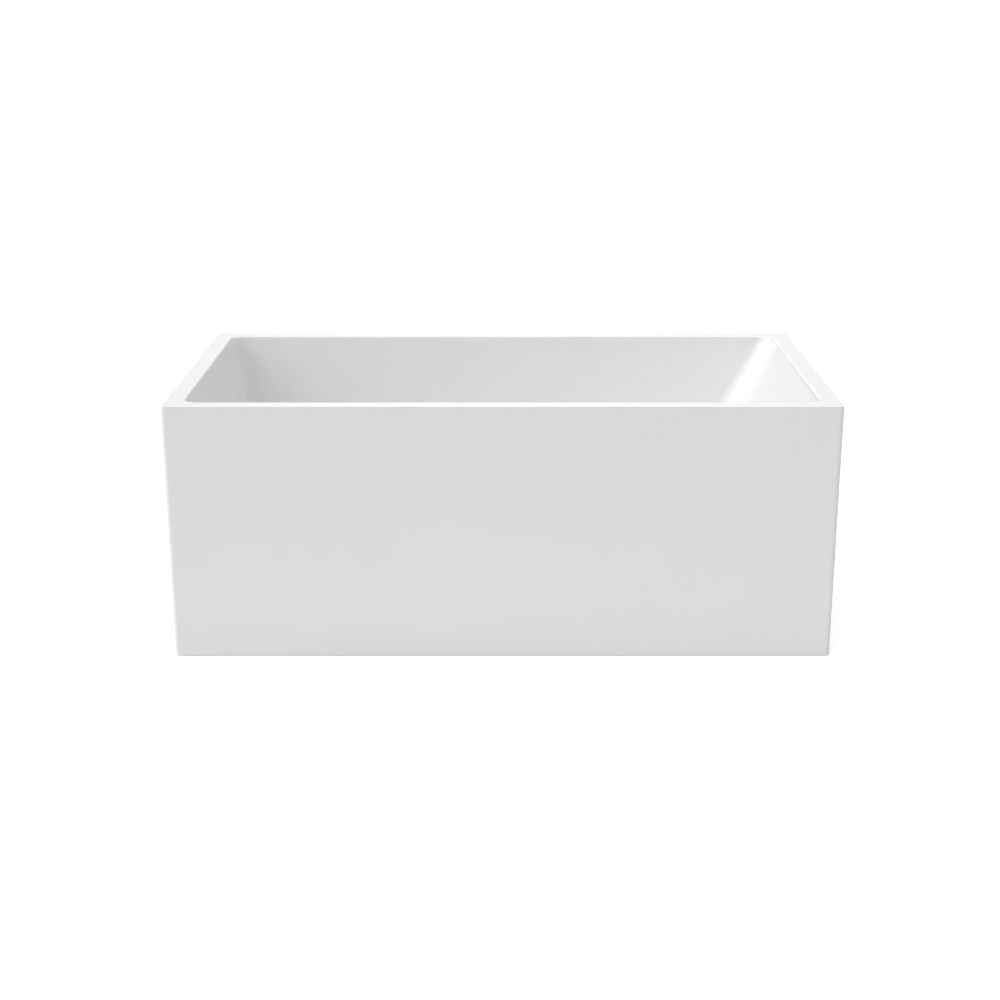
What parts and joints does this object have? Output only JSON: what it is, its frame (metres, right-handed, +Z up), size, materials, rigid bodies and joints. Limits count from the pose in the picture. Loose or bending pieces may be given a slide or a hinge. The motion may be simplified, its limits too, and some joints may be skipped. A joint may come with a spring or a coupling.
{
  "type": "freestanding bathtub",
  "caption": "Rectangular freestanding bathtub with a flat rim, one sloped end, a push-to-open waste, and a steel frame on screw-adjusted feet under a square skirt.",
  "frame": {"origin": "on the floor, under the middle of the outer outline", "axes": "+X along the length towards the sloped backrest, +Y towards the back, +Z up"},
  "size_m": [1.4, 0.75, 0.55],
  "materials": {
    "acrylic": "gloss",
    "glass_fibre": "rough",
    "plywood": "raw",
    "galvanised_steel": "satin",
    "zinc_steel": "satin",
    "black_plastic": "satin",
    "rubber": "matte",
    "nylon": "satin",
    "chrome": "polished",
    "brass": "turned",
    "spring_steel": "bright"
  },
  "bodies": {
    "tub": {"base_board": "plywood", "basin": "acrylic", "basin_backing": "glass_fibre", "bracket_bolts": "zinc_steel", "cross_member_backrest": "galvanised_steel", "cross_member_drain": "galvanised_steel", "cross_member_middle": "galvanised_steel", "frame_rail_back": "galvanised_steel", "frame_rail_front": "galvanised_steel", "lock_nuts": "zinc_steel", "plug_post": "brass", "rail_screws": "zinc_steel", "skirt": "acrylic", "skirt_backing": "glass_fibre", "skirt_brackets": "galvanised_steel", "tube_end_plugs": "black_plastic", "waste_back_nut": "brass", "waste_body": "chrome", "waste_gasket": "rubber", "waste_seal": "rubber", "waste_washer": "nylon", "weld_nuts": "zinc_steel"},
    "foot_front_drain": {"foot_pad_front_drain": "black_plastic", "foot_sole_front_drain": "rubber"},
    "stud_front_drain": {"leg_stud_front_drain": "zinc_steel"},
    "foot_front_middle": {"foot_pad_front_middle": "black_plastic", "foot_sole_front_middle": "rubber"},
    "stud_front_middle": {"leg_stud_front_middle": "zinc_steel"},
    "foot_front_backrest": {"foot_pad_front_backrest": "black_plastic", "foot_sole_front_backrest": "rubber"},
    "stud_front_backrest": {"leg_stud_front_backrest": "zinc_steel"},
    "foot_back_drain": {"foot_pad_back_drain": "black_plastic", "foot_sole_back_drain": "rubber"},
    "stud_back_drain": {"leg_stud_back_drain": "zinc_steel"},
    "foot_back_middle": {"foot_pad_back_middle": "black_plastic", "foot_sole_back_middle": "rubber"},
    "stud_back_middle": {"leg_stud_back_middle": "zinc_steel"},
    "foot_back_backrest": {"foot_pad_back_backrest": "black_plastic", "foot_sole_back_backrest": "rubber"},
    "stud_back_backrest": {"leg_stud_back_backrest": "zinc_steel"},
    "plug": {"plug_cap": "chrome", "plug_seal": "rubber", "plug_sleeve": "brass", "plug_spring": "spring_steel"}
  },
  "joints": [
    {"name": "foot_front_drain_height", "type": "slide", "parent": "tub", "child": "foot_front_drain", "axis": [0, 0, -1], "range_m": [-0.006, 0.02]},
    {"name": "stud_front_drain_turn", "type": "hinge", "parent": "foot_front_drain", "child": "stud_front_drain", "pos_m": [-0.56, -0.285, 0.05], "axis": [0, 0, -1], "range_deg": [-1235, 4115]},
    {"name": "foot_front_middle_height", "type": "slide", "parent": "tub", "child": "foot_front_middle", "axis": [0, 0, -1], "range_m": [-0.006, 0.02]},
    {"name": "stud_front_middle_turn", "type": "hinge", "parent": "foot_front_middle", "child": "stud_front_middle", "pos_m": [0, -0.285, 0.05], "axis": [0, 0, -1], "range_deg": [-1235, 4115]},
    {"name": "foot_front_backrest_height", "type": "slide", "parent": "tub", "child": "foot_front_backrest", "axis": [0, 0, -1], "range_m": [-0.006, 0.02]},
    {"name": "stud_front_backrest_turn", "type": "hinge", "parent": "foot_front_backrest", "child": "stud_front_backrest", "pos_m": [0.56, -0.285, 0.05], "axis": [0, 0, -1], "range_deg": [-1235, 4115]},
    {"name": "foot_back_drain_height", "type": "slide", "parent": "tub", "child": "foot_back_drain", "axis": [0, 0, -1], "range_m": [-0.006, 0.02]},
    {"name": "stud_back_drain_turn", "type": "hinge", "parent": "foot_back_drain", "child": "stud_back_drain", "pos_m": [-0.56, 0.285, 0.05], "axis": [0, 0, -1], "range_deg": [-1235, 4115]},
    {"name": "foot_back_middle_height", "type": "slide", "parent": "tub", "child": "foot_back_middle", "axis": [0, 0, -1], "range_m": [-0.006, 0.02]},
    {"name": "stud_back_middle_turn", "type": "hinge", "parent": "foot_back_middle", "child": "stud_back_middle", "pos_m": [0, 0.285, 0.05], "axis": [0, 0, -1], "range_deg": [-1235, 4115]},
    {"name": "foot_back_backrest_height", "type": "slide", "parent": "tub", "child": "foot_back_backrest", "axis": [0, 0, -1], "range_m": [-0.006, 0.02]},
    {"name": "stud_back_backrest_turn", "type": "hinge", "parent": "foot_back_backrest", "child": "stud_back_backrest", "pos_m": [0.56, 0.285, 0.05], "axis": [0, 0, -1], "range_deg": [-1235, 4115]},
    {"name": "plug_lift", "type": "slide", "parent": "tub", "child": "plug", "axis": [0, 0, 1], "range_m": [0, 0.01], "deforming": ["plug_spring"]}
  ],
  "couplings": [
    {"joint": "stud_front_drain_turn", "follows": "foot_front_drain_height", "rad_per_m": 3590.4},
    {"joint": "stud_front_middle_turn", "follows": "foot_front_middle_height", "rad_per_m": 3590.4},
    {"joint": "stud_front_backrest_turn", "follows": "foot_front_backrest_height", "rad_per_m": 3590.4},
    {"joint": "stud_back_drain_turn", "follows": "foot_back_drain_height", "rad_per_m": 3590.4},
    {"joint": "stud_back_middle_turn", "follows": "foot_back_middle_height", "rad_per_m": 3590.4},
    {"joint": "stud_back_backrest_turn", "follows": "foot_back_backrest_height", "rad_per_m": 3590.4}
  ]
}
